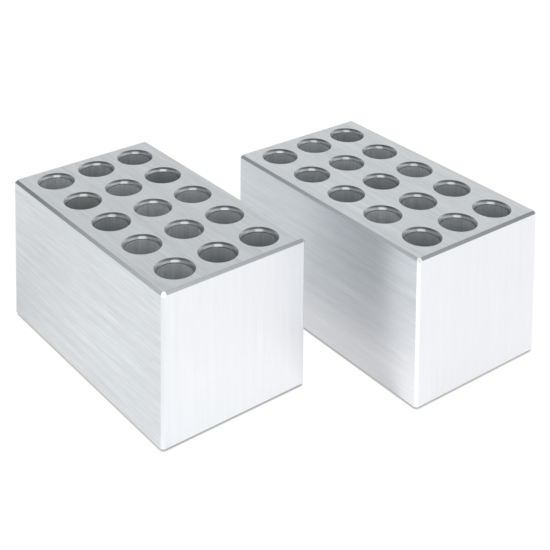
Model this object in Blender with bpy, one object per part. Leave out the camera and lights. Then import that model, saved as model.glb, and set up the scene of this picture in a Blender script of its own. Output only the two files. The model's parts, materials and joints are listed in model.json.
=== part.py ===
"""Pair of interchangeable tube blocks for a dry block heater.

Each block is one solid bar of aluminium with a 3 x 5 grid of blind round
wells bored down from its top face.  The two blocks are identical and share
one mesh.  They stand loose on a bench, nearly parallel and staggered along
their length.

Units are metres, +Z is up.  The blocks' long sides run along Y.  The origin
is on the bench, at the middle of the box round the pair's square-cornered
plan outlines.  Left is -X and near is -Y.
"""

import math

import bmesh
import bpy
from mathutils import Matrix, Vector

# ---------------------------------------------------------------- dimensions
BLOCK_WIDTH = 0.066          # across the three columns, along X
BLOCK_LENGTH = 0.112         # along the five rows, along Y
BLOCK_HEIGHT = 0.059

# All chamfers are at 45 degrees.
UPRIGHT_CHAMFER = 0.0010     # on the four upright edges
TOP_CHAMFER = 0.0010         # round the top face
FOOT_CHAMFER = 0.0010        # round the underside

WELL_COLUMNS = 3
WELL_ROWS = 5
WELL_PITCH_X = 0.0195
WELL_PITCH_Y = 0.0220
WELL_DIAMETER = 0.0133       # easy fit for a 13 mm tube
RIM_DIAMETER = 0.0155        # 45 degree countersink at the mouth
WELL_DEPTH = 0.047           # top face to the end of the round wall
DRILL_POINT_ANGLE = math.radians(118.0)
WELL_SEGMENTS = 32
CUTTER_OVERRUN = 0.001       # how far the cutter stands above the top face

# The right block's near left corner, measured from the left block's.
RIGHT_OFFSET_X = 0.0890
RIGHT_OFFSET_Y = -0.0372
RIGHT_TURN = math.radians(-1.0)   # about that corner, clockwise from above

SMOOTH_LIMIT = math.radians(30.0)   # edges sharper than this stay crisp
TOLERANCE = 1e-6                    # for matching heights and merging points

ALUMINIUM = (0.78, 0.79, 0.80, 1.0)


# ------------------------------------------------------------------- helpers
def clear_scene():
    for obj in list(bpy.data.objects):
        bpy.data.objects.remove(obj, do_unlink=True)


def new_object(name, mesh, parent=None):
    obj = bpy.data.objects.new(name, mesh)
    bpy.context.scene.collection.objects.link(obj)
    obj.parent = parent
    return obj


def mesh_from(bm, name):
    """Writes a bmesh to a new mesh and frees it."""
    mesh = bpy.data.meshes.new(name)
    bm.to_mesh(mesh)
    bm.free()
    return mesh


def aluminium(name):
    """Bare machined aluminium with a satin surface."""
    mat = bpy.data.materials.new(name)
    mat.use_nodes = True
    inputs = mat.node_tree.nodes["Principled BSDF"].inputs
    inputs["Base Color"].default_value = ALUMINIUM
    inputs["Metallic"].default_value = 1.0
    inputs["Roughness"].default_value = 0.38
    mat.diffuse_color = ALUMINIUM
    return mat


# --------------------------------------------------------------------- blank
def chamfer(bm, size, chosen):
    """Chamfers the edges whose lower and upper end heights pass the test."""
    edges = []
    for edge in bm.edges:
        low, high = sorted(vert.co.z for vert in edge.verts)
        if chosen(low, high):
            edges.append(edge)
    bmesh.ops.bevel(bm, geom=edges, offset=size, offset_type='OFFSET',
                    segments=1, profile=0.5, affect='EDGES')


def blank_mesh():
    """The bar before boring: origin at the middle of its underside."""
    bm = bmesh.new()
    bmesh.ops.create_cube(bm, size=1.0)
    bmesh.ops.scale(bm, verts=bm.verts,
                    vec=(BLOCK_WIDTH, BLOCK_LENGTH, BLOCK_HEIGHT))
    bmesh.ops.translate(bm, verts=bm.verts, vec=(0, 0, BLOCK_HEIGHT / 2))

    # Uprights go first, so the top and foot chamfers run round the corners.
    chamfer(bm, UPRIGHT_CHAMFER, lambda low, high: high - low > BLOCK_HEIGHT / 2)
    chamfer(bm, TOP_CHAMFER, lambda low, high: low > BLOCK_HEIGHT - TOLERANCE)
    chamfer(bm, FOOT_CHAMFER, lambda low, high: high < TOLERANCE)

    bmesh.ops.recalc_face_normals(bm, faces=bm.faces)
    return mesh_from(bm, "blank")


# --------------------------------------------------------------------- wells
def well_profile():
    """Half section of one well as (radius, z), from above the mouth down."""
    well_radius = WELL_DIAMETER / 2
    rim_radius = RIM_DIAMETER / 2
    sink_depth = rim_radius - well_radius   # 45 degrees: depth equals width
    point_depth = well_radius / math.tan(DRILL_POINT_ANGLE / 2)
    cutter_top = BLOCK_HEIGHT + CUTTER_OVERRUN
    wall_end = BLOCK_HEIGHT - WELL_DEPTH
    return [
        (0.0, cutter_top),
        (rim_radius + CUTTER_OVERRUN, cutter_top),
        (well_radius, BLOCK_HEIGHT - sink_depth),
        (well_radius, wall_end),
        (0.0, wall_end - point_depth),
    ]


def single_well_mesh():
    """One drill and countersink, a closed turned body on the Z axis."""
    bm = bmesh.new()
    profile = [bm.verts.new((radius, 0.0, z)) for radius, z in well_profile()]
    edges = [bm.edges.new(pair) for pair in zip(profile, profile[1:])]
    bmesh.ops.spin(bm, geom=profile + edges, cent=(0, 0, 0), axis=(0, 0, 1),
                   dvec=(0, 0, 0), angle=2 * math.pi, steps=WELL_SEGMENTS,
                   use_merge=False, use_duplicate=False)
    # Close the seam and gather the points that lie on the axis.
    bmesh.ops.remove_doubles(bm, verts=bm.verts, dist=TOLERANCE)
    bmesh.ops.recalc_face_normals(bm, faces=bm.faces)
    return mesh_from(bm, "well")


def well_centres():
    """Centres of the grid, row by row, about the middle of the block."""
    for row in range(WELL_ROWS):
        for column in range(WELL_COLUMNS):
            yield Vector(((column - (WELL_COLUMNS - 1) / 2) * WELL_PITCH_X,
                          (row - (WELL_ROWS - 1) / 2) * WELL_PITCH_Y, 0.0))


def wells_mesh():
    """All the wells of one block: a closed body at each well centre."""
    well = single_well_mesh()
    bm = bmesh.new()
    for centre in well_centres():
        first = len(bm.verts)
        bm.from_mesh(well)
        bm.verts.ensure_lookup_table()
        bmesh.ops.translate(bm, verts=bm.verts[first:], vec=centre)
    bpy.data.meshes.remove(well)
    return mesh_from(bm, "wells")


def bored_block_mesh():
    """Bores the wells out of the blank and returns the finished mesh."""
    blank = new_object("blank", blank_mesh())
    wells = new_object("well_cutter", wells_mesh())
    wells.hide_render = True
    cut = blank.modifiers.new("wells", 'BOOLEAN')
    cut.operation = 'DIFFERENCE'
    cut.solver = 'EXACT'
    cut.object = wells

    bpy.context.view_layer.update()
    depsgraph = bpy.context.evaluated_depsgraph_get()
    mesh = bpy.data.meshes.new_from_object(blank.evaluated_get(depsgraph))
    mesh.name = "tube_block"
    bpy.data.objects.remove(blank, do_unlink=True)
    bpy.data.objects.remove(wells, do_unlink=True)

    mesh.shade_smooth()
    mesh.set_sharp_from_angle(angle=SMOOTH_LIMIT)
    # The blocks share this mesh, so each fills an empty slot for itself.
    if not mesh.materials:
        mesh.materials.append(None)
    return mesh


# --------------------------------------------------------------------- build
def plan_point(corner, turn, x, y):
    """Plan place of a point given from a block's near left corner."""
    return corner + Matrix.Rotation(turn, 2) @ Vector((x, y))


def middle_of_plan(placings):
    """Middle of the box round the blocks' square-cornered plan outlines."""
    points = [plan_point(corner, turn, x, y)
              for _, corner, turn in placings
              for x in (0, BLOCK_WIDTH)
              for y in (0, BLOCK_LENGTH)]
    xs = [point.x for point in points]
    ys = [point.y for point in points]
    return Vector(((min(xs) + max(xs)) / 2, (min(ys) + max(ys)) / 2))


def main():
    clear_scene()

    # Name, near left corner and turn about that corner.
    placings = [
        ("tube_block_left", Vector((0.0, 0.0)), 0.0),
        ("tube_block_right", Vector((RIGHT_OFFSET_X, RIGHT_OFFSET_Y)), RIGHT_TURN),
    ]
    middle = middle_of_plan(placings)

    pair = new_object("tube_block_pair", None)
    mesh = bored_block_mesh()
    for name, corner, turn in placings:
        centre = plan_point(corner, turn, BLOCK_WIDTH / 2, BLOCK_LENGTH / 2)
        place = centre - middle
        block = new_object(name, mesh, pair)
        block.location = (place.x, place.y, 0.0)
        block.rotation_euler = (0.0, 0.0, turn)
        slot = block.material_slots[0]
        slot.link = 'OBJECT'
        slot.material = aluminium(name + "_aluminium")
    bpy.context.view_layer.update()


main()
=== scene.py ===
"""Looks for the pair of dry block heater tube blocks.

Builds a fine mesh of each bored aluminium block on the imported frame, gives
every machined surface its own finish, and sets up a white table, a soft
studio surround and the camera.
"""
import json
import math

import bmesh
import bpy
import numpy as np
from mathutils import Matrix, Vector


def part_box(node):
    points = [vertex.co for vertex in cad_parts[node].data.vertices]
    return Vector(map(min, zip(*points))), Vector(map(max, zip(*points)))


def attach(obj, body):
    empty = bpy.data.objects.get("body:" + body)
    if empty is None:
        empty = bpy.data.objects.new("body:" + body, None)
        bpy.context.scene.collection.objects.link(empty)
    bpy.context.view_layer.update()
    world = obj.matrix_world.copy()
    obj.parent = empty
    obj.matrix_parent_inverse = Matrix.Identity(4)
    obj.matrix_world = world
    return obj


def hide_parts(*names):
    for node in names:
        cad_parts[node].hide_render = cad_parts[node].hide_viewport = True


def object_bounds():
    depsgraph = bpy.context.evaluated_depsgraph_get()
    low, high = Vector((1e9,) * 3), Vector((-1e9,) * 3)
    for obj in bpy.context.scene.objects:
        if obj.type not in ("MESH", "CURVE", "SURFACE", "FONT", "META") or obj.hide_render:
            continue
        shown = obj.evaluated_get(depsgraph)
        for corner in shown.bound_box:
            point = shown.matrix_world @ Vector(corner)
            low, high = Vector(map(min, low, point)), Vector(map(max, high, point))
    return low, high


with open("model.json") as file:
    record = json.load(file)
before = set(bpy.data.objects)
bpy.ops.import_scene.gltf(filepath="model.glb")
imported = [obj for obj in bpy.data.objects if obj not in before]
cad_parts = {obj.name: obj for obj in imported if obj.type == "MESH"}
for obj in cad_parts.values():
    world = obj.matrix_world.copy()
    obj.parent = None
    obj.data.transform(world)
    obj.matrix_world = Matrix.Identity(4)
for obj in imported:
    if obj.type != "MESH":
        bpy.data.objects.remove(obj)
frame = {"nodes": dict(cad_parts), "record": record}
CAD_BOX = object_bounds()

# ------------------------------------------------------------------ the shape
# Everything here is in metres.  Widths, lengths and heights of the blocks and
# the places of the wells come from the frame; these are the machined details.
CHAMFER = 0.0010             # round the top face and on the upright edges
FOOT_CHAMFER = 0.0010
EDGE_ROUND = 0.00012         # what deburring leaves on each chamfer's edges

MOUTH_R = 0.00775            # outer edge of the countersink
MOUTH_45 = 0.00060           # width of its 45 degree part
BORE_R = 0.00665
LEAD_IN = 0.00082            # depth of the steeper cone below the 45 degree part
WELL_DEPTH = 0.047
DRILL_HALF_ANGLE = math.radians(59.0)

# Each top corner is touched with a file: a small flat at this slope.
FILED_SLOPE = math.radians(38.0)
FILED_HEADING = math.radians(32.0)   # off the short side's own facing

SIDE_STEPS = 24              # cell side; a well has four times as many facets
CORNER_STEPS = 3


def round_polyline(points, radii, steps):
    """Replaces the inner corners of an open polyline with tangent arcs."""
    out = [Vector(points[0])]
    for i in range(1, len(points) - 1):
        here, radius = Vector(points[i]), radii[i]
        back = (Vector(points[i - 1]) - here).normalized()
        ahead = (Vector(points[i + 1]) - here).normalized()
        bend = math.pi - back.angle(ahead)
        if radius <= 0 or bend < 1e-4:
            out.append(here)
            continue
        tangent = radius * math.tan(bend / 2)
        start = here + back * tangent
        to_centre = (back + ahead).normalized()
        centre = here + to_centre * (radius / math.cos(bend / 2))
        arm = start - centre
        turn = bend if back.x * ahead.y - back.y * ahead.x < 0 else -bend
        for k in range(steps + 1):
            a = turn * k / steps
            c, s = math.cos(a), math.sin(a)
            out.append(centre + Vector((arm.x * c - arm.y * s,
                                        arm.x * s + arm.y * c)))
    out.append(Vector(points[-1]))
    return out


class BlockBuilder:
    """One closed mesh: outer shell, bored top face, wells and underside.

    The origin is at the middle of the underside, with the long sides along Y.
    """

    TOP, LONG, SHORT, CHAMFER, RIM, BORE, UNDER, CORNER = range(8)

    def __init__(self, width, length, height, wells):
        self.hw, self.hl, self.h = width / 2, length / 2, height
        self.wells = wells                       # rows of columns of (x, y)
        self.verts, self.faces, self.zones, self.tags = [], [], [], []

    # ---- small helpers
    def vert(self, x, y, z, tag=0.0):
        self.verts.append((x, y, z))
        self.tags.append(tag)
        return len(self.verts) - 1

    def face(self, loop, zone):
        self.faces.append(tuple(loop))
        self.zones.append(zone)

    def strip(self, lower, upper, zone):
        """Quads between two closed rings, facing away from the axis."""
        n = len(lower)
        for k in range(n):
            z = zone[k] if isinstance(zone, list) else zone
            self.face((lower[k], lower[(k + 1) % n],
                       upper[(k + 1) % n], upper[k]), z)

    # ---- outer shell
    def outline(self, inset):
        """Plan outline at an inset: four sides with chamfered corners.

        Returns points counter-clockwise from the near left corner, and for
        each segment whether it lies on a short side, a corner or a long side.
        """
        c = CHAMFER
        hw, hl = self.hw, self.hl
        k = math.tan(math.radians(22.5)) * inset
        raw = [(-hw + c + k, -hl + inset), (hw - c - k, -hl + inset),
               (hw - inset, -hl + c + k), (hw - inset, hl - c - k),
               (hw - c - k, hl - inset), (-hw + c + k, hl - inset),
               (-hw + inset, hl - c - k), (-hw + inset, -hl + c + k)]
        points, kinds = [], []
        for i in range(8):
            a, b = Vector(raw[i]), Vector(raw[(i + 1) % 8])
            before, after = Vector(raw[i - 1]), Vector(raw[(i + 2) % 8])
            r = EDGE_ROUND
            t = r * math.tan(math.radians(22.5))
            start = a + (b - a).normalized() * t
            end = b - (b - a).normalized() * t
            if i % 2 == 0:                       # a side
                on_short = i % 4 == 0
                cells = len(self.wells[0]) if on_short else len(self.wells)
                steps = cells * SIDE_STEPS
                kind = self.SHORT if on_short else self.LONG
            else:
                steps, kind = 2, self.CORNER
            for s in range(steps):
                points.append(start.lerp(end, s / steps))
                kinds.append(kind)
            # the small rounding between this edge and the next
            inward = Vector((-(b - a).y, (b - a).x)).normalized()
            centre = end + inward * r
            arm = end - centre
            for s in range(CORNER_STEPS):
                ang = math.radians(45.0) * s / CORNER_STEPS
                co, si = math.cos(ang), math.sin(ang)
                points.append(centre + Vector((arm.x * co - arm.y * si,
                                               arm.x * si + arm.y * co)))
                kinds.append(self.CORNER)
        return points, kinds

    def shell(self):
        profile = round_polyline(
            [(FOOT_CHAMFER + 0.004, 0.0), (FOOT_CHAMFER, 0.0), (0.0, FOOT_CHAMFER),
             (0.0, self.h - CHAMFER), (CHAMFER, self.h),
             (CHAMFER + 0.0005, self.h)],
            [0, EDGE_ROUND, EDGE_ROUND, EDGE_ROUND, EDGE_ROUND, 0],
            CORNER_STEPS)
        # drop the two open ends: they only set the first and last directions
        profile = profile[1:-1]
        rings = []
        for inset, z in profile:
            points, kinds = self.outline(inset)
            rings.append([self.vert(p.x, p.y, z) for p in points])
        side_from = len(profile) // 2
        for i in range(len(rings) - 1):
            (d0, z0), (d1, z1) = profile[i], profile[i + 1]
            upright = abs(d1 - d0) < 1e-9 and z1 - z0 > 0.01
            zone = kinds if upright else self.CHAMFER
            self.strip(rings[i], rings[i + 1], zone)
        self.face(list(reversed(rings[0])), self.UNDER)
        return rings[-1], kinds

    # ---- top face with its wells
    def top(self, rim_ring):
        rows, cols = len(self.wells), len(self.wells[0])
        xs = [self.wells[0][j][0] for j in range(cols)]
        ys = [self.wells[i][0][1] for i in range(rows)]
        margin = MOUTH_R + 0.0017
        xb = ([xs[0] - margin] + [(a + b) / 2 for a, b in zip(xs, xs[1:])]
              + [xs[-1] + margin])
        yb = ([ys[0] - margin] + [(a + b) / 2 for a, b in zip(ys, ys[1:])]
              + [ys[-1] + margin])
        n = SIDE_STEPS
        gx = [xb[j] + (xb[j + 1] - xb[j]) * s / n
              for j in range(cols) for s in range(n)] + [xb[-1]]
        gy = [yb[i] + (yb[i + 1] - yb[i]) * s / n
              for i in range(rows) for s in range(n)] + [yb[-1]]
        grid = {}

        def node(a, b):
            if (a, b) not in grid:
                grid[a, b] = self.vert(gx[a], gy[b], self.h)
            return grid[a, b]

        for i in range(rows):
            for j in range(cols):
                a0, b0 = j * n, i * n
                loop = ([node(a0 + s, b0) for s in range(n)]
                        + [node(a0 + n, b0 + s) for s in range(n)]
                        + [node(a0 + n - s, b0 + n) for s in range(n)]
                        + [node(a0, b0 + n - s) for s in range(n)])
                mouth = self.well(self.wells[i][j], i * cols + j)
                self.strip(loop, mouth, self.TOP)

        # the border between the cells and the shell's last ring
        outer = rim_ring
        w, l = cols * n, rows * n
        border = [[node(s, 0) for s in range(w + 1)],
                  [node(w, s) for s in range(l + 1)],
                  [node(w - s, l) for s in range(w + 1)],
                  [node(0, l - s) for s in range(l + 1)]]
        corner = 2 + 2 * CORNER_STEPS
        at = 0
        total = len(outer)
        for side, inner in enumerate(border):
            steps = len(inner) - 1
            for s in range(steps):
                self.face((outer[(at + s) % total], outer[(at + s + 1) % total],
                           inner[s + 1], inner[s]), self.TOP)
            at += steps
            for s in range(corner):
                self.face((outer[(at + s) % total], outer[(at + s + 1) % total],
                           inner[-1]), self.TOP)
            at += corner

    def well(self, centre, index):
        """Countersink, lead-in cone, bore and drill point; returns its mouth ring."""
        h = self.h
        bottom = h - WELL_DEPTH
        tip = bottom - BORE_R / math.tan(DRILL_HALF_ANGLE)
        corners = [(MOUTH_R + 0.0005, h), (MOUTH_R, h),
                   (MOUTH_R - MOUTH_45, h - MOUTH_45),
                   (BORE_R, h - MOUTH_45 - LEAD_IN),
                   (BORE_R, bottom), (0.0, tip)]
        profile = round_polyline(corners,
                                 [0, 0.00007, 0.00030, 0.00090, 0.00030, 0], 4)
        profile = profile[1:]
        # a few rings down the wall keep its facets from getting too long
        full = []
        for p, q in zip(profile, profile[1:]):
            full.append(p)
            if abs(p.x - q.x) < 1e-9 and p.y - q.y > 0.02:
                full += [p.lerp(q, s / 8) for s in range(1, 8)]
        n = 4 * SIDE_STEPS
        rings, heights = [], []
        for r, z in full:
            ring = []
            for k in range(n):
                a = math.radians(-135.0) + 2 * math.pi * k / n
                ring.append(self.vert(centre[0] + r * math.cos(a),
                                      centre[1] + r * math.sin(a), z, index + 1))
            rings.append(ring)
            heights.append(z)
        rim_end = h - MOUTH_45 - LEAD_IN - 0.0004
        for i in range(len(rings) - 1):
            zone = self.RIM if heights[i + 1] > rim_end else self.BORE
            self.strip(rings[i], rings[i + 1], zone)
        last = rings[-1]
        end = self.vert(centre[0], centre[1], tip, index + 1)
        for k in range(n):
            self.face((last[k], last[(k + 1) % n], end), self.BORE)
        return rings[0]

    def mesh(self, name, materials, filed):
        ring, _ = self.shell()
        self.top(ring)
        mesh = bpy.data.meshes.new(name)
        mesh.from_pydata(self.verts, [], self.faces)
        for m in materials:
            mesh.materials.append(m)
        mesh.polygons.foreach_set("material_index", self.zones)
        tag = mesh.attributes.new("well", 'FLOAT', 'POINT')
        tag.data.foreach_set("value", [float(t) for t in self.tags])
        mesh.polygons.foreach_set("use_smooth", [True] * len(self.faces))
        self.file_corners(mesh, filed)
        mesh.validate()
        mesh.update()
        return mesh

    def file_corners(self, mesh, filed):
        """Takes a small flat off each top corner, filed[k] along its edges."""
        bm = bmesh.new()
        bm.from_mesh(mesh)
        flat = math.cos(FILED_SLOPE)
        over, ahead = math.sin(FILED_HEADING), math.cos(FILED_HEADING)
        for (sx, sy), reach in zip(((-1, -1), (1, -1), (1, 1), (-1, 1)), filed):
            facing = Vector((sx * flat * over, sy * flat * ahead,
                             math.sin(FILED_SLOPE)))
            point = Vector((sx * (self.hw - reach), sy * self.hl, self.h))
            near = [f for f in bm.faces
                    if max((v.co - point).dot(facing) for v in f.verts) > -1e-7]
            geom = set(near)
            for f in near:
                geom.update(f.edges)
                geom.update(f.verts)
            bmesh.ops.bisect_plane(bm, geom=list(geom), dist=1e-8,
                                   plane_co=point, plane_no=facing,
                                   clear_outer=True)
            rim = [e for e in bm.edges if e.is_boundary]
            made = bmesh.ops.contextual_create(bm, geom=rim)["faces"]
            for f in made:
                f.material_index = self.CORNER
                f.smooth = True
            for e in rim:
                e.smooth = False
        bmesh.ops.recalc_face_normals(bm, faces=bm.faces)
        bm.to_mesh(mesh)
        bm.free()


# -------------------------------------------------------------- node helpers
class Tree:
    """Short names for building a node tree."""

    def __init__(self, tree):
        self.tree = tree
        tree.nodes.clear()

    def node(self, kind, **settings):
        n = self.tree.nodes.new(kind)
        for key, value in settings.items():
            setattr(n, key, value)
        return n

    def put(self, socket, value):
        if isinstance(value, bpy.types.NodeSocket):
            self.tree.links.new(value, socket)
        elif value is not None:
            socket.default_value = value

    def math(self, op, a, b=None, c=None, clamp=False):
        n = self.node('ShaderNodeMath', operation=op, use_clamp=clamp)
        for s, v in zip(n.inputs, (a, b, c)):
            self.put(s, v)
        return n.outputs[0]

    def vec(self, op, a, b=None, c=None, scale=None):
        n = self.node('ShaderNodeVectorMath', operation=op)
        self.put(n.inputs[0], a)
        if b is not None:
            self.put(n.inputs[1], b)
        if c is not None:
            self.put(n.inputs[2], c)
        if scale is not None:
            self.put(n.inputs['Scale'], scale)
        return n.outputs['Value'] if op in ('DOT_PRODUCT', 'LENGTH', 'DISTANCE') \
            else n.outputs['Vector']

    def split(self, v):
        n = self.node('ShaderNodeSeparateXYZ')
        self.put(n.inputs[0], v)
        return n.outputs

    def join(self, x, y, z):
        n = self.node('ShaderNodeCombineXYZ')
        for s, v in zip(n.inputs, (x, y, z)):
            self.put(s, v)
        return n.outputs[0]

    def noise(self, vector, scale=1.0, detail=2.0, rough=0.5, w=None):
        n = self.node('ShaderNodeTexNoise',
                      noise_dimensions='4D' if w is not None else '3D')
        self.put(n.inputs['Vector'], vector)
        self.put(n.inputs['Scale'], scale)
        self.put(n.inputs['Detail'], detail)
        self.put(n.inputs['Roughness'], rough)
        if w is not None:
            self.put(n.inputs['W'], w)
        return self.math('MULTIPLY_ADD', n.outputs[0], 2.0, -1.0)

    def blend(self, factor, a, b):
        n = self.node('ShaderNodeMix', data_type='FLOAT')
        for s, v in zip(n.inputs, (factor, None, a, b)):
            self.put(s, v)
        return n.outputs[0]

    def ramp(self, value, stops, interpolation='LINEAR'):
        n = self.node('ShaderNodeValToRGB')
        n.color_ramp.interpolation = interpolation
        elements = n.color_ramp.elements
        while len(elements) < len(stops):
            elements.new(0.5)
        for e, (pos, level) in zip(elements, stops):
            e.position = pos
            e.color = (level, level, level, 1.0)
        self.put(n.inputs[0], value)
        return n.outputs[0]

    def remap(self, value, a, b, c, d, smooth=False):
        n = self.node('ShaderNodeMapRange',
                      interpolation_type='SMOOTHSTEP' if smooth else 'LINEAR')
        n.clamp = True
        for s, v in zip(n.inputs, (value, a, b, c, d)):
            self.put(s, v)
        return n.outputs[0]


# ------------------------------------------------------------------ materials
METAL = (0.800, 0.822, 0.835)


def aluminium(name, lay, seed, tone=1.0, tint=(1, 1, 1), rough=0.32, aniso=0.5,
              streak=0.05, patch=0.02, bump=0.3, well_spread=0.0, metallic=1.0, painted_light_fade=0.0,
              front=1.0, painted_foot_shade=1.0):
    """Machined aluminium.

    lay is the direction of the tool or brush marks: 'X', 'Y' or 'Z' for a flat
    face, 'RING' for a turned surface.  painted_light_fade is painted light: it
    makes the near left end of the surface brighter than its far right end.
    front and painted_foot_shade are painted shade: the tone of the near short
    edge and of the edges underneath against the rest.
    """
    mat = bpy.data.materials.new(name)
    mat.use_nodes = True
    t = Tree(mat.node_tree)
    out = t.node('ShaderNodeOutputMaterial')
    bsdf = t.node('ShaderNodeBsdfPrincipled')
    t.put(out.inputs['Surface'], bsdf.outputs[0])

    coord = t.node('ShaderNodeTexCoord').outputs['Object']
    mm = t.vec('SCALE', coord, scale=1000.0)
    x, y, z = t.split(mm)
    offset = 37.0 * seed

    if lay == 'RING':
        stretch = (0.12, 0.12, 1.0)
    else:
        stretch = {'X': (0.05, 1.0, 1.0), 'Y': (1.0, 0.05, 1.0),
                   'Z': (1.0, 1.0, 0.04)}[lay]
    lined = t.vec('MULTIPLY', mm, stretch)
    hair = t.noise(lined, scale=9.0, detail=2.0, rough=0.6, w=offset)
    line = t.noise(lined, scale=2.2, detail=3.0, rough=0.55, w=offset + 5)
    band = t.noise(lined, scale=0.45, detail=2.0, rough=0.5, w=offset + 9)
    cloud = t.noise(mm, scale=0.06, detail=3.0, rough=0.5, w=offset + 13)

    marks = t.math('ADD', t.math('MULTIPLY', hair, 0.35),
                   t.math('ADD', t.math('MULTIPLY', line, 0.75),
                          t.math('MULTIPLY', band, 0.55)))
    # the marks come and go over the face instead of running evenly across it
    gate = t.remap(t.noise(mm, scale=0.11, detail=1.0, w=offset + 21),
                   -0.5, 0.5, 0.55, 1.25, smooth=True)
    marks = t.math('MULTIPLY', marks, gate)

    level = t.math('MULTIPLY_ADD', marks, streak, 1.0)
    level = t.math('MULTIPLY', level,
                   t.math('MULTIPLY_ADD', cloud, patch, 1.0))
    level = t.math('MULTIPLY', level, tone)
    # painted light: the near left end of the surface is made brighter and its far right
    # end darker
    if painted_light_fade:
        along = t.math('ADD', t.math('MULTIPLY', y, 1.0), t.math('MULTIPLY', x, 0.9))
        level = t.math('MULTIPLY', level,
                       t.remap(along, -85.0, 10.0, 1.0 + painted_light_fade, 1.0 - painted_light_fade))
    # painted shade: darkens the chamfer along the near short edge and the downward facing
    # edges at the foot
    if front != 1.0 or painted_foot_shade != 1.0:
        facing = t.split(t.node('ShaderNodeNewGeometry').outputs['Normal'])
        low = t.remap(facing[2], -0.3, 0.3, 1.0, 0.0)
        near = t.math('MULTIPLY', t.remap(facing[1], -0.6, -0.3, 1.0, 0.0),
                      t.math('SUBTRACT', 1.0, low))
        level = t.math('MULTIPLY', level, t.blend(near, 1.0, front))
        level = t.math('MULTIPLY', level, t.blend(low, 1.0, painted_foot_shade))
    if well_spread:
        tag = t.node('ShaderNodeAttribute', attribute_name="well").outputs['Fac']
        spread = t.noise(t.join(tag, offset, 0.0), scale=1.37, detail=0.0)
        level = t.math('MULTIPLY', level,
                       t.math('MULTIPLY_ADD', spread, well_spread, 1.0))
    colour = t.vec('SCALE', tuple(a * b for a, b in zip(METAL, tint)),
                   scale=level)
    t.put(bsdf.inputs['Base Color'], colour)
    bsdf.inputs['Metallic'].default_value = metallic
    t.put(bsdf.inputs['Roughness'],
          t.math('ADD', rough, t.math('ADD', t.math('MULTIPLY', line, 0.04),
                                      t.math('MULTIPLY', cloud, 0.03)),
                 clamp=True))
    bsdf.inputs['Anisotropic'].default_value = aniso

    # highlights spread across the marks, so the tangent crosses the lay
    normal = t.node('ShaderNodeNewGeometry').outputs['Normal']
    if lay == 'RING':
        tangent = t.vec('NORMALIZE', t.vec('CROSS_PRODUCT', normal,
                                           t.vec('CROSS_PRODUCT', normal,
                                                 (0, 0, 1))))
    else:
        axis = {'X': (1, 0, 0), 'Y': (0, 1, 0), 'Z': (0, 0, 1)}[lay]
        tangent = t.vec('NORMALIZE', t.vec('CROSS_PRODUCT', normal, axis))
    t.put(bsdf.inputs['Tangent'], tangent)

    if bump:
        relief = t.math('ADD', t.math('MULTIPLY', hair, 0.6), line)
        b = t.node('ShaderNodeBump')
        b.inputs['Strength'].default_value = bump
        b.inputs['Distance'].default_value = 0.00001
        t.put(b.inputs['Height'], relief)
        t.put(bsdf.inputs['Normal'], b.outputs[0])
    return mat


def block_materials(name, seed):
    """One finish per machined surface, in the order of BlockBuilder's zones; several tones
    hold painted light and shade.
    """
    # painted light and shade: both blocks are the same metal, but each gets its own top,
    # chamfer and near-edge tones and its own fade, for the light falling differently on it
    painted_top_light, painted_chamfer_shade, painted_light_fade, front = \
        (1.005, 0.79, 0.39, 1.0) if name == "left" else (1.04, 0.97, 0.32, 0.46)
    side_streak = 0.24 if name == "left" else 0.17
    return [
        aluminium(name + "_top_brushed", 'Y', seed + 1, rough=0.34, streak=0.32,
                  tone=painted_top_light),
        aluminium(name + "_long_side_brushed", 'Y', seed + 2, rough=0.34,
                  streak=side_streak),
        aluminium(name + "_short_side_milled", 'Z', seed + 3, rough=0.34,
                  streak=0.07),
        # chamfers: painted shade in a per-block tone, painted light brightening the near
        # left end, painted shade on the near short edge and at the foot
        aluminium(name + "_chamfer", 'Y', seed + 4, rough=0.34, streak=0.12,
                  tone=painted_chamfer_shade, painted_light_fade=painted_light_fade, front=front, painted_foot_shade=0.75),
        # painted shade: a low tone darkens the countersink into a dark ring round each
        # well
        aluminium(name + "_countersink", 'RING', seed + 5, rough=0.25,
                  streak=0.35, tone=0.52),
        # painted shade: a low tone darkens the bores; well_spread varies it at random from
        # well to well
        aluminium(name + "_bore", 'Z', seed + 6, rough=0.40, streak=0.40,
                  tone=0.66, well_spread=0.6, metallic=0.5),
        aluminium(name + "_underside_milled", 'X', seed + 7, rough=0.4,
                  streak=0.12),
        # painted highlight: the upright edges, their corner roundings and the filed corner
        # flats get a brighter tone, on top of the soft box's real reflection
        aluminium(name + "_upright_edge_painted_glint", 'Z', seed + 8, rough=0.3,
                  streak=0.05, tone=1.12),
    ]


# --------------------------------------------------------------------- blocks
def block_frame(node):
    """Middle, turn and size of a block from its CAD node's side faces."""
    mesh = frame["nodes"][node].data
    low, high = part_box(node)
    middle = (low + high) / 2
    push = Vector((0.0, 0.0))
    for face in mesh.polygons:
        n = face.normal
        if abs(n.z) < 1e-3 and n.x > 0.9:
            push += Vector((n.x, n.y)) * face.area
    turn = math.atan2(push.y, push.x)
    along = Matrix.Rotation(-turn, 2)
    flat = [along @ (Vector((v.co.x, v.co.y)) - Vector((middle.x, middle.y)))
            for v in mesh.vertices]
    width = max(p.x for p in flat) - min(p.x for p in flat)
    length = max(p.y for p in flat) - min(p.y for p in flat)
    return Vector((middle.x, middle.y, low.z)), turn, width, length, high.z - low.z


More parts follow.
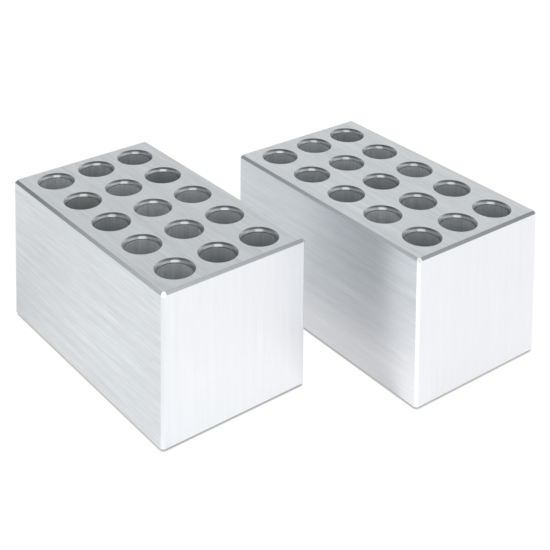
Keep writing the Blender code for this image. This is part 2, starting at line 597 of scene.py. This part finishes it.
def well_grid(side, middle, turn):
    """Rows of columns of well centres in the block's own axes."""
    along = Matrix.Rotation(-turn, 2)
    rows = {}
    for opening in frame["record"]["physics"]["openings"]:
        if not opening["name"].startswith(side + "_well_"):
            continue
        lo, hi = opening["box_m"]
        p = along @ Vector(((lo[0] + hi[0]) / 2 - middle.x,
                            (lo[1] + hi[1]) / 2 - middle.y))
        rows.setdefault(opening["name"].split("_")[2], []).append((p.x, p.y))
    grid = [sorted(r) for r in rows.values()]
    grid.sort(key=lambda r: r[0][1])
    # one pitch each way: rounding in the record is taken out
    cols = len(grid[0])
    xs = [sum(r[j][0] for r in grid) / len(grid) for j in range(cols)]
    ys = [sum(p[1] for p in r) / cols for r in grid]
    return [[(x, y) for x in xs] for y in ys]


def make_block(side, seed, filed):
    node = "tube_block_" + side
    middle, turn, width, length, height = block_frame(node)
    builder = BlockBuilder(width, length, height, well_grid(side, middle, turn))
    mesh = builder.mesh(node + "_metal", block_materials(side, seed), filed)
    piece = bpy.data.objects.new(node + "_metal", mesh)
    bpy.context.scene.collection.objects.link(piece)
    piece.location = middle
    piece.rotation_euler = (0.0, 0.0, turn)
    even = piece.modifiers.new("even_normals", 'WEIGHTED_NORMAL')
    even.mode = 'FACE_AREA'
    even.weight = 100
    even.keep_sharp = True
    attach(piece, side + "_block")
    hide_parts(node)
    return piece


make_block("left", 1, (0.0034, 0.0028, 0.0027, 0.0027))
make_block("right", 2, (0.0034, 0.0027, 0.0028, 0.0027))


# ---------------------------------------------------------------------- stage
def make_floor():
    bm = bmesh.new()
    bmesh.ops.create_grid(bm, x_segments=1, y_segments=1, size=4.0)
    mesh = bpy.data.meshes.new("white_table")
    bm.to_mesh(mesh)
    bm.free()
    floor = bpy.data.objects.new("white_table", mesh)
    bpy.context.scene.collection.objects.link(floor)
    floor.location = (0.0, 0.0, CAD_BOX[0].z - 0.00002)

    mat = bpy.data.materials.new("white_table")
    mat.use_nodes = True
    t = Tree(mat.node_tree)
    out = t.node('ShaderNodeOutputMaterial')
    path = t.node('ShaderNodeLightPath')
    place = t.node('ShaderNodeNewGeometry').outputs['Position']

    # what the camera sees: white, with a narrow contact shadow
    near = t.node('ShaderNodeAmbientOcclusion', samples=8)
    near.inputs['Distance'].default_value = 0.0009
    wide = t.node('ShaderNodeAmbientOcclusion', samples=8)
    wide.inputs['Distance'].default_value = 0.05
    dark = t.remap(wide.outputs['AO'], 0.22, 0.45, 0.42, 0.78)
    shade = t.remap(near.outputs['AO'], 0.45, 1.0, dark, 1.0)
    seen = t.node('ShaderNodeEmission')
    t.put(seen.inputs['Color'], t.join(shade, shade, shade))
    seen.inputs['Strength'].default_value = 1.02

    # what the metal sees: painted light, brighter to the front right and a little
    # bluer to the left, and painted shade where the blocks shade the table
    # between them and right under them
    shaded = t.remap(wide.outputs['AO'], 0.15, 0.60, 0.86, 1.0)
    under = t.node('ShaderNodeAmbientOcclusion', samples=8)
    under.inputs['Distance'].default_value = 0.003
    shaded = t.math('MULTIPLY', shaded,
                    t.remap(under.outputs['AO'], 0.15, 0.5, 0.15, 1.0))
    across = t.vec('DOT_PRODUCT', place, (0.78, -0.62, 0.0))
    along = t.vec('DOT_PRODUCT', place, (0.787, 0.617, 0.0))
    left = t.ramp(t.math('DIVIDE', t.math('ADD', along, 0.10), 0.20, clamp=True),
                  [(0.0, 0.95), (0.25, 0.94), (0.35, 0.87), (0.43, 0.78),
                   (0.50, 0.88), (0.62, 0.95)])
    between = t.remap(along, -0.03, 0.03, 0.78, 1.06)
    beside = t.remap(across, 0.045, 0.065, between, 1.11, smooth=True)
    right = t.blend(t.remap(along, -0.036, -0.028, 0.0, 1.0, smooth=True),
                    1.16, beside)
    level = t.blend(t.remap(across, -0.050, -0.028, 0.0, 1.0, smooth=True),
                    left, right)
    warm = t.remap(across, -0.06, 0.02, 0.0, 1.0)
    tint = t.vec('ADD', (0.973, 0.987, 1.0),
                 t.vec('SCALE', (0.027, -0.005, 0.004), scale=warm))
    mirrored = t.node('ShaderNodeEmission')
    t.put(mirrored.inputs['Color'],
          t.vec('SCALE', tint, scale=t.math('MULTIPLY', level, shaded)))

    mix = t.node('ShaderNodeMixShader')
    t.put(mix.inputs[0], path.outputs['Is Camera Ray'])
    t.put(mix.inputs[1], mirrored.outputs[0])
    t.put(mix.inputs[2], seen.outputs[0])
    # open from underneath, so that the undersides can be looked at
    sides = t.node('ShaderNodeMixShader')
    t.put(sides.inputs[0], t.node('ShaderNodeNewGeometry').outputs['Backfacing'])
    t.put(sides.inputs[1], mix.outputs[0])
    t.put(sides.inputs[2], t.node('ShaderNodeBsdfTransparent').outputs[0])
    t.put(out.inputs['Surface'], sides.outputs[0])
    mesh.materials.append(mat)
    return floor


make_floor()


def make_surround():
    """A bright horizon under a darker ceiling."""
    world = bpy.data.worlds.new("studio")
    bpy.context.scene.world = world
    world.use_nodes = True
    t = Tree(world.node_tree)
    out = t.node('ShaderNodeOutputWorld')
    path = t.node('ShaderNodeLightPath')
    direction = t.vec('NORMALIZE', t.node('ShaderNodeTexCoord').outputs['Generated'])
    up = t.split(direction)[2]
    dome = t.ramp(up, [(0.0, 0.38), (0.24, 0.46), (0.38, 0.95), (0.49, 1.0),
                       (0.58, 0.60), (0.70, 0.38), (0.88, 0.20), (1.0, 0.16)])
    across = t.vec('DOT_PRODUCT', direction, (0.79, -0.61, 0.0))
    level = t.math('MULTIPLY', dome, t.math('MULTIPLY_ADD', across, 0.35, 1.0))
    level = t.math('MAXIMUM', level,
                   t.math('MULTIPLY', path.outputs['Is Diffuse Ray'], 1.1))
    surround = t.node('ShaderNodeBackground')
    t.put(surround.inputs['Color'],
          t.vec('SCALE', (0.966, 0.985, 1.0), scale=level))
    white = t.node('ShaderNodeBackground')
    white.inputs['Color'].default_value = (1, 1, 1, 1)
    white.inputs['Strength'].default_value = 1.02
    mix = t.node('ShaderNodeMixShader')
    t.put(mix.inputs[0], path.outputs['Is Camera Ray'])
    t.put(mix.inputs[1], surround.outputs[0])
    t.put(mix.inputs[2], white.outputs[0])
    t.put(out.inputs['Surface'], mix.outputs[0])


make_surround()


def make_softbox():
    """A round soft box behind the camera's left shoulder."""
    data = bpy.data.lights.new("softbox", 'AREA')
    data.shape = 'DISK'
    data.size = 1.0
    data.energy = SOFTBOX_LEVEL * math.pi * math.pi * (data.size / 2) ** 2
    box = bpy.data.objects.new("softbox", data)
    bpy.context.scene.collection.objects.link(box)
    towards = Vector((-0.52, -0.66, 0.53)).normalized()
    box.location = Vector((0.0, 0.0, 0.05)) + towards * 1.2
    box.rotation_euler = towards.to_track_quat('Z', 'Y').to_euler()
    box.visible_camera = False


SOFTBOX_LEVEL = 1.1
make_softbox()


# --------------------------------------------------------------------- camera
def make_camera():
    """Looks along the pair from the near left, with a rising-front style shift
    that keeps the upright edges nearly parallel."""
    data = bpy.data.cameras.new("camera")
    camera = bpy.data.objects.new("camera", data)
    bpy.context.scene.collection.objects.link(camera)
    bpy.context.scene.camera = camera
    heading, dip, roll = (math.radians(a) for a in (37.556095, 5.317567, 0.377777))
    camera.matrix_world = (
        Matrix.Translation((-0.3093823, -0.3810883, 0.2936127))
        @ Matrix.Rotation(-heading, 4, 'Z')
        @ Matrix.Rotation(math.pi / 2 - dip, 4, 'X')
        @ Matrix.Rotation(roll, 4, 'Z'))
    data.sensor_width = 36.0
    data.lens = 81.165
    data.clip_start, data.clip_end = 0.01, 20.0

    # The shift belongs to this viewpoint only: a camera moved elsewhere looks
    # straight at the middle of the object.
    for path, value in (("shift_x", 0.058856), ("shift_y", -0.978716)):
        driver = data.driver_add(path).driver
        driver.type = 'SCRIPTED'
        place = driver.variables.new()
        place.name = "x"
        place.type = 'TRANSFORMS'
        place.targets[0].id = camera
        place.targets[0].transform_type = 'LOC_X'
        place.targets[0].transform_space = 'WORLD_SPACE'
        driver.expression = f"{value} if abs(x + 0.3093823) < 0.0005 else 0.0"


make_camera()
bpy.context.scene.view_settings.view_transform = 'Standard'
bpy.context.scene.view_settings.look = 'None'
